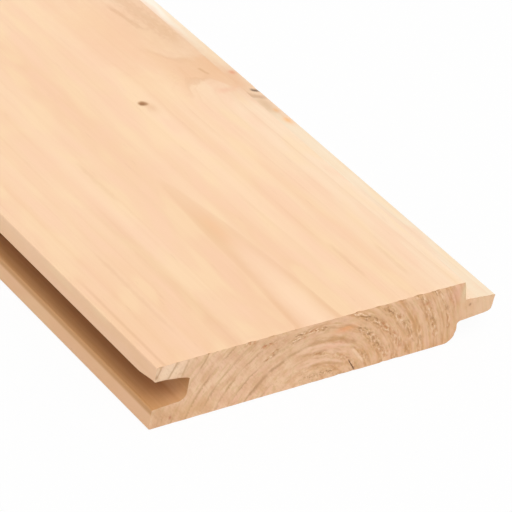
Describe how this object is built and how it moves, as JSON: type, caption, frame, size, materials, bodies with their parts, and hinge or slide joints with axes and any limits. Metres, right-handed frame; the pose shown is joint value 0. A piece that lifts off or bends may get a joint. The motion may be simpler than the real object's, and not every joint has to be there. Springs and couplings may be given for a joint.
{
  "type": "shutter board",
  "caption": "Planed softwood board with a groove along its left edge and a matching tongue along its right edge, sawn square across its ends.",
  "frame": {"origin": "middle of the back, on the surface that the board lies on", "axes": "+X from the groove edge to the tongue edge, +Y along the board, +Z out of the face"},
  "size_m": [0.121, 2, 0.021],
  "materials": {
    "softwood": "planed, unfinished; ends left rough from the saw"
  },
  "bodies": {
    "root": {"shutter_board": "softwood"}
  },
  "joints": []
}
